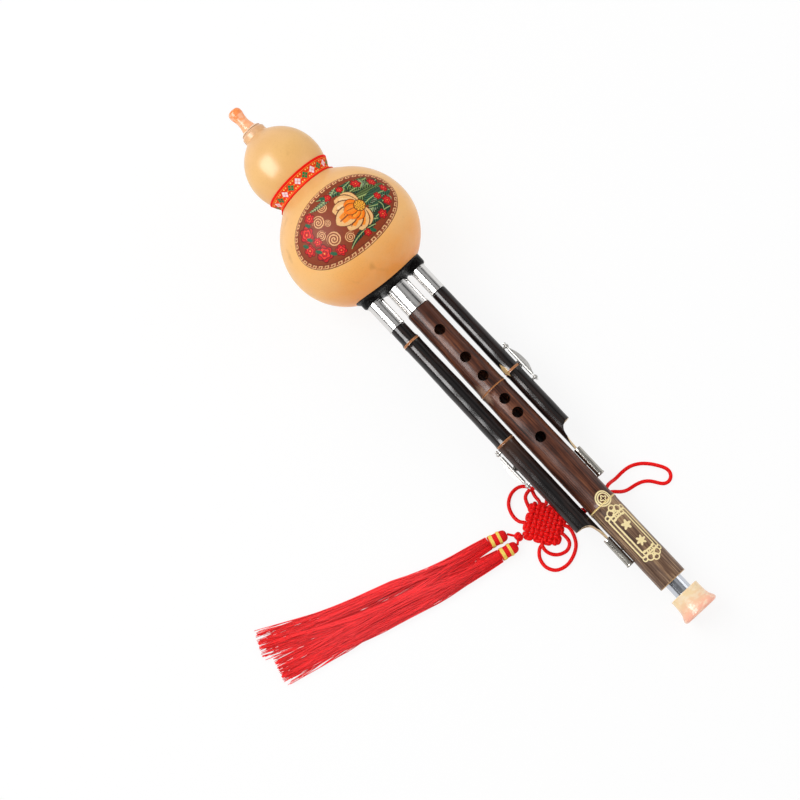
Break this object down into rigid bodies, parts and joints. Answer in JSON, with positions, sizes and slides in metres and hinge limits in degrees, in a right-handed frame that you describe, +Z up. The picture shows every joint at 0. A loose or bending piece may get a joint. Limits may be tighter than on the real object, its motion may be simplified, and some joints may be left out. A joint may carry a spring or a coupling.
{
  "type": "hulusi",
  "caption": "Gourd flute with a mouthpiece, a fingered main pipe and drones with levers, a tuning slide with a flared bell, and a knotted hanging cord with silk tassels.",
  "frame": {"origin": "bottom centre of the instrument's own bounding box, on the surface it lies on; the hanging cord and tassels are not counted", "axes": "+X from the mouthpiece towards the foot bell, +Y towards the short drone, +Z up, finger holes facing up"},
  "size_m": [0.4558, 0.2772, 0.0943],
  "materials": {
    "gourd_shell": "clear gloss lacquer over tan gourd, with a painted oval",
    "orange_resin": "translucent, polished",
    "cream_resin": "marbled, polished",
    "woven_ribbon": "woven, with small flowers in white and green",
    "black_resin": "glossy, slightly uneven",
    "polished_steel": "polished",
    "reed_tube_wood": "plain",
    "reed_brass": "rolled sheet",
    "brown_bamboo": "gloss lacquer over streaked brown bamboo",
    "black_bamboo": "gloss lacquer over near-black bamboo",
    "cork": "matt",
    "red_cord": "braided satin cord",
    "gold_thread": "metallic wound thread",
    "red_thread": "silky loose threads"
  },
  "bodies": {
    "instrument": {"mouthpiece": "orange_resin", "mouthpiece_collar": "cream_resin", "gourd": "gourd_shell", "waist_ribbon": "woven_ribbon", "pipe_seat": "black_resin", "main_ferrule": "polished_steel", "main_reed_tube": "reed_tube_wood", "main_reed": "reed_brass", "left_ferrule": "polished_steel", "left_reed_tube": "reed_tube_wood", "left_reed": "reed_brass", "right_ferrule": "polished_steel", "right_reed_tube": "reed_tube_wood", "right_reed": "reed_brass", "main_pipe": "brown_bamboo", "left_drone_pipe": "black_bamboo", "left_drone_clip": "polished_steel", "left_lever_upper_post": "polished_steel", "left_lever_lower_post": "polished_steel", "left_lever_rod": "polished_steel", "right_drone_pipe": "black_bamboo", "right_drone_clip": "polished_steel", "right_lever_upper_post": "polished_steel", "right_lever_lower_post": "polished_steel", "right_lever_rod": "polished_steel", "tuning_bush": "cork", "hanging_loop": "red_cord", "knot": "red_cord", "left_tassel_cord": "red_cord", "left_tassel_head": "red_cord", "left_tassel_upper_band": "gold_thread", "left_tassel_lower_band": "gold_thread", "left_tassel_skirt": "red_thread", "right_tassel_cord": "red_cord", "right_tassel_head": "red_cord", "right_tassel_upper_band": "gold_thread", "right_tassel_lower_band": "gold_thread", "right_tassel_skirt": "red_thread"},
    "tuning": {"tuning_tube": "polished_steel", "foot_bell": "cream_resin"},
    "left_lever": {"left_lever": "polished_steel", "left_lever_pad": "cork"},
    "right_lever": {"right_lever": "polished_steel", "right_lever_pad": "cork"}
  },
  "joints": [
    {"name": "tuning_slide", "type": "slide", "parent": "instrument", "child": "tuning", "axis": [0.995, 0, -0.0998], "range_m": [-0.009, 0.012]},
    {"name": "left_lever_hinge", "type": "hinge", "parent": "instrument", "child": "left_lever", "pos_m": [0.07636, -0.02709, 0.02544], "axis": [-0.995, 0, 0.0998], "range_deg": [0, 25]},
    {"name": "right_lever_hinge", "type": "hinge", "parent": "instrument", "child": "right_lever", "pos_m": [0.02764, 0.02579, 0.03369], "axis": [0.995, 0, -0.0998], "range_deg": [0, 25]}
  ]
}
